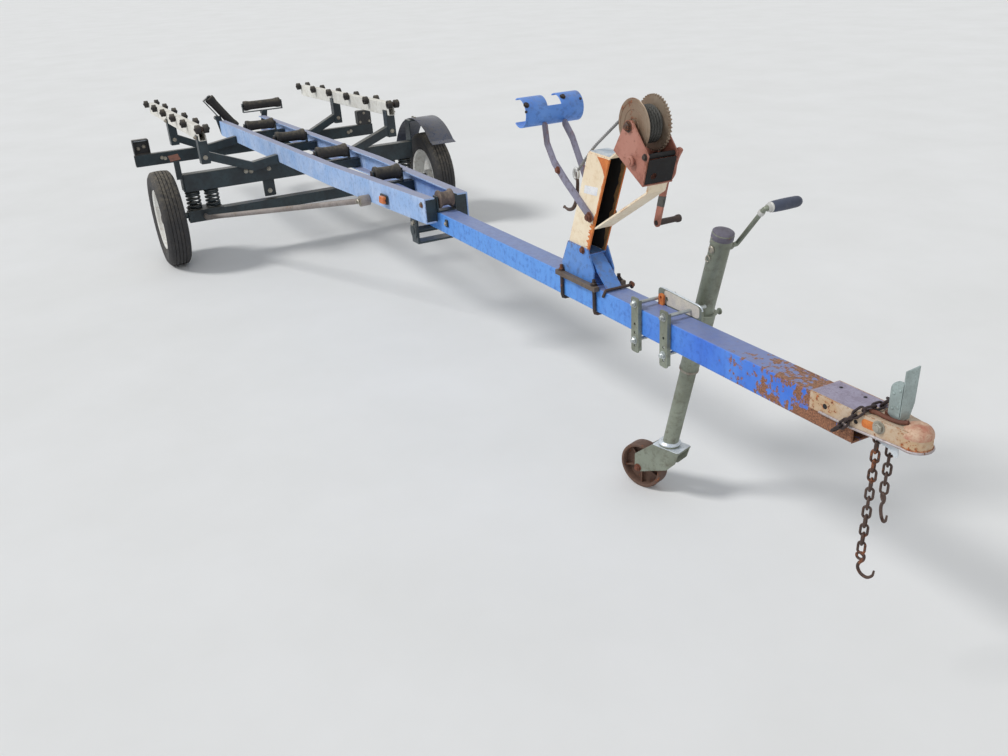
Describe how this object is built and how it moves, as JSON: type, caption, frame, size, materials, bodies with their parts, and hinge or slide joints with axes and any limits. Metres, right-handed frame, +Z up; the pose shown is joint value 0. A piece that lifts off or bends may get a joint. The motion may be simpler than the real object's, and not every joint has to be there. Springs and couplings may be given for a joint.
{
  "type": "boat trailer",
  "caption": "Boat trailer with a long tongue, keel rollers, side roller bunks, hand winch, bow stop and a swivel jack.",
  "frame": {"origin": "on the ground at mid-length and mid-width", "axes": "+X along the trailer towards the coupler, +Y to its left, +Z up"},
  "size_m": [6.1908, 1.734, 1.2482],
  "materials": {
    "tongue_blue": "weathered gloss",
    "rail_blue": "faded and chalky",
    "frame_black": "dull, dusty",
    "bunk_white": "chalky",
    "roller_black": "matte",
    "roller_worn": "worn",
    "tyre_black": "dusty",
    "rim_white": "chalky",
    "fender_slate": "satin",
    "rod_grey": "weathered, rusty",
    "winch_rust": "rusty",
    "drum_steel": "rusty zinc",
    "post_cream": "faded, rust edged",
    "arm_steel": "weathered",
    "rope_dark": "dusty",
    "hook_steel": "rusty",
    "galvanised": "dull galvanised",
    "caster_rust": "rusty",
    "coupler_rust": "rusty, worn paint",
    "lamp_black": "dull",
    "lens_red": "gloss",
    "marker_amber": "gloss"
  },
  "bodies": {
    "frame": {"tongue": "tongue_blue", "bow_saddle": "tongue_blue", "post_seat": "tongue_blue", "right_rail": "rail_blue", "left_rail": "rail_blue", "axle_crossmember": "frame_black", "light_bar": "frame_black", "roller_crossmembers": "frame_black", "keel_roller_brackets": "frame_black", "axle": "frame_black", "coil_springs": "frame_black", "fender_brackets": "frame_black", "front_bunk_arms": "frame_black", "rear_bunk_arms": "frame_black", "rear_roller_posts": "frame_black", "tongue_strap": "frame_black", "post_clamp": "frame_black", "right_bunk": "bunk_white", "left_bunk": "bunk_white", "bunk_rollers": "roller_black", "left_fender": "fender_slate", "radius_rods": "rod_grey", "winch_frame": "winch_rust", "winch_post": "post_cream", "winch_brace": "post_cream", "bow_arms": "arm_steel", "winch_rope": "rope_dark", "rope_hook": "hook_steel", "safety_chains": "hook_steel", "jack_tube": "galvanised", "jack_crank": "galvanised", "jack_clamp": "galvanised", "coupler": "coupler_rust", "coupler_latch": "coupler_rust", "tail_lights": "lamp_black", "tail_lenses": "lens_red", "side_markers": "marker_amber"},
    "right_wheel": {"right_tyre": "tyre_black", "right_rim": "rim_white"},
    "left_wheel": {"left_tyre": "tyre_black", "left_rim": "rim_white"},
    "keel_roller_1": {"keel_roller_1": "roller_worn"},
    "keel_roller_2": {"keel_roller_2": "roller_black"},
    "keel_roller_3": {"keel_roller_3": "roller_black"},
    "keel_roller_4": {"keel_roller_4": "roller_black"},
    "keel_roller_5": {"keel_roller_5": "roller_black"},
    "right_rear_yoke": {"right_rear_yoke": "frame_black"},
    "left_rear_yoke": {"left_rear_yoke": "frame_black"},
    "right_rear_roller": {"right_rear_roller": "roller_black"},
    "left_rear_roller": {"left_rear_roller": "roller_black"},
    "winch_drum": {"winch_drum": "drum_steel", "wound_rope": "rope_dark"},
    "winch_crank": {"winch_crank": "winch_rust"},
    "jack_leg": {"jack_leg": "galvanised"},
    "caster_fork": {"caster_fork": "galvanised"},
    "caster_wheel": {"caster_wheel": "caster_rust"}
  },
  "joints": [
    {"name": "right_wheel_spin", "type": "hinge", "parent": "frame", "child": "right_wheel", "pos_m": [-1.29295, -0.805, 0.265], "axis": [0, 1, 0], "continuous": true},
    {"name": "left_wheel_spin", "type": "hinge", "parent": "frame", "child": "left_wheel", "pos_m": [-1.29295, 0.805, 0.265], "axis": [0, 1, 0], "continuous": true},
    {"name": "keel_roller_1_spin", "type": "hinge", "parent": "frame", "child": "keel_roller_1", "pos_m": [0.77562, 0, 0.69231], "axis": [0, 1, 0], "continuous": true},
    {"name": "keel_roller_2_spin", "type": "hinge", "parent": "frame", "child": "keel_roller_2", "pos_m": [0.1294, 0, 0.67128], "axis": [0, 1, 0], "continuous": true},
    {"name": "keel_roller_3_spin", "type": "hinge", "parent": "frame", "child": "keel_roller_3", "pos_m": [-0.68938, 0, 0.62665], "axis": [0, 1, 0], "continuous": true},
    {"name": "keel_roller_4_spin", "type": "hinge", "parent": "frame", "child": "keel_roller_4", "pos_m": [-1.49818, 0, 0.58256], "axis": [0, 1, 0], "continuous": true},
    {"name": "keel_roller_5_spin", "type": "hinge", "parent": "frame", "child": "keel_roller_5", "pos_m": [-2.25706, 0, 0.5412], "axis": [0, 1, 0], "continuous": true},
    {"name": "right_yoke_swing", "type": "hinge", "parent": "frame", "child": "right_rear_yoke", "pos_m": [-2.83304, -0.168, 0.52523], "axis": [0.9985, 0, 0.0544], "range_deg": [-5, 110]},
    {"name": "right_rear_roller_spin", "type": "hinge", "parent": "right_rear_yoke", "child": "right_rear_roller", "pos_m": [-2.83485, -0.12049, 0.55844], "axis": [0.0446, 0.5736, -0.8179], "continuous": true},
    {"name": "left_yoke_swing", "type": "hinge", "parent": "frame", "child": "left_rear_yoke", "pos_m": [-2.83304, 0.168, 0.52523], "axis": [0.9985, 0, 0.0544], "range_deg": [-60, 60]},
    {"name": "left_rear_roller_spin", "type": "hinge", "parent": "left_rear_yoke", "child": "left_rear_roller", "pos_m": [-2.8362, 0.168, 0.58314], "axis": [0, 1, 0], "continuous": true},
    {"name": "winch_drum_turn", "type": "hinge", "parent": "frame", "child": "winch_drum", "pos_m": [2.12205, 0, 1.178], "axis": [0, 1, 0], "continuous": true},
    {"name": "winch_crank_turn", "type": "hinge", "parent": "frame", "child": "winch_crank", "pos_m": [2.14305, 0, 1.094], "axis": [0, 1, 0], "continuous": true},
    {"name": "jack_leg_slide", "type": "slide", "parent": "frame", "child": "jack_leg", "axis": [0.2538, 0, 0.9673], "range_m": [0, 0.22]},
    {"name": "caster_swivel", "type": "hinge", "parent": "jack_leg", "child": "caster_fork", "pos_m": [2.11505, 0.122, 0.18], "axis": [0, 0, 1], "continuous": true},
    {"name": "caster_wheel_spin", "type": "hinge", "parent": "caster_fork", "child": "caster_wheel", "pos_m": [2.0247, 0.09264, 0.076], "axis": [-0.309, 0.9511, 0], "continuous": true}
  ],
  "couplings": [
    {"joint": "winch_crank_turn", "follows": "winch_drum_turn", "ratio": -4.4}
  ]
}
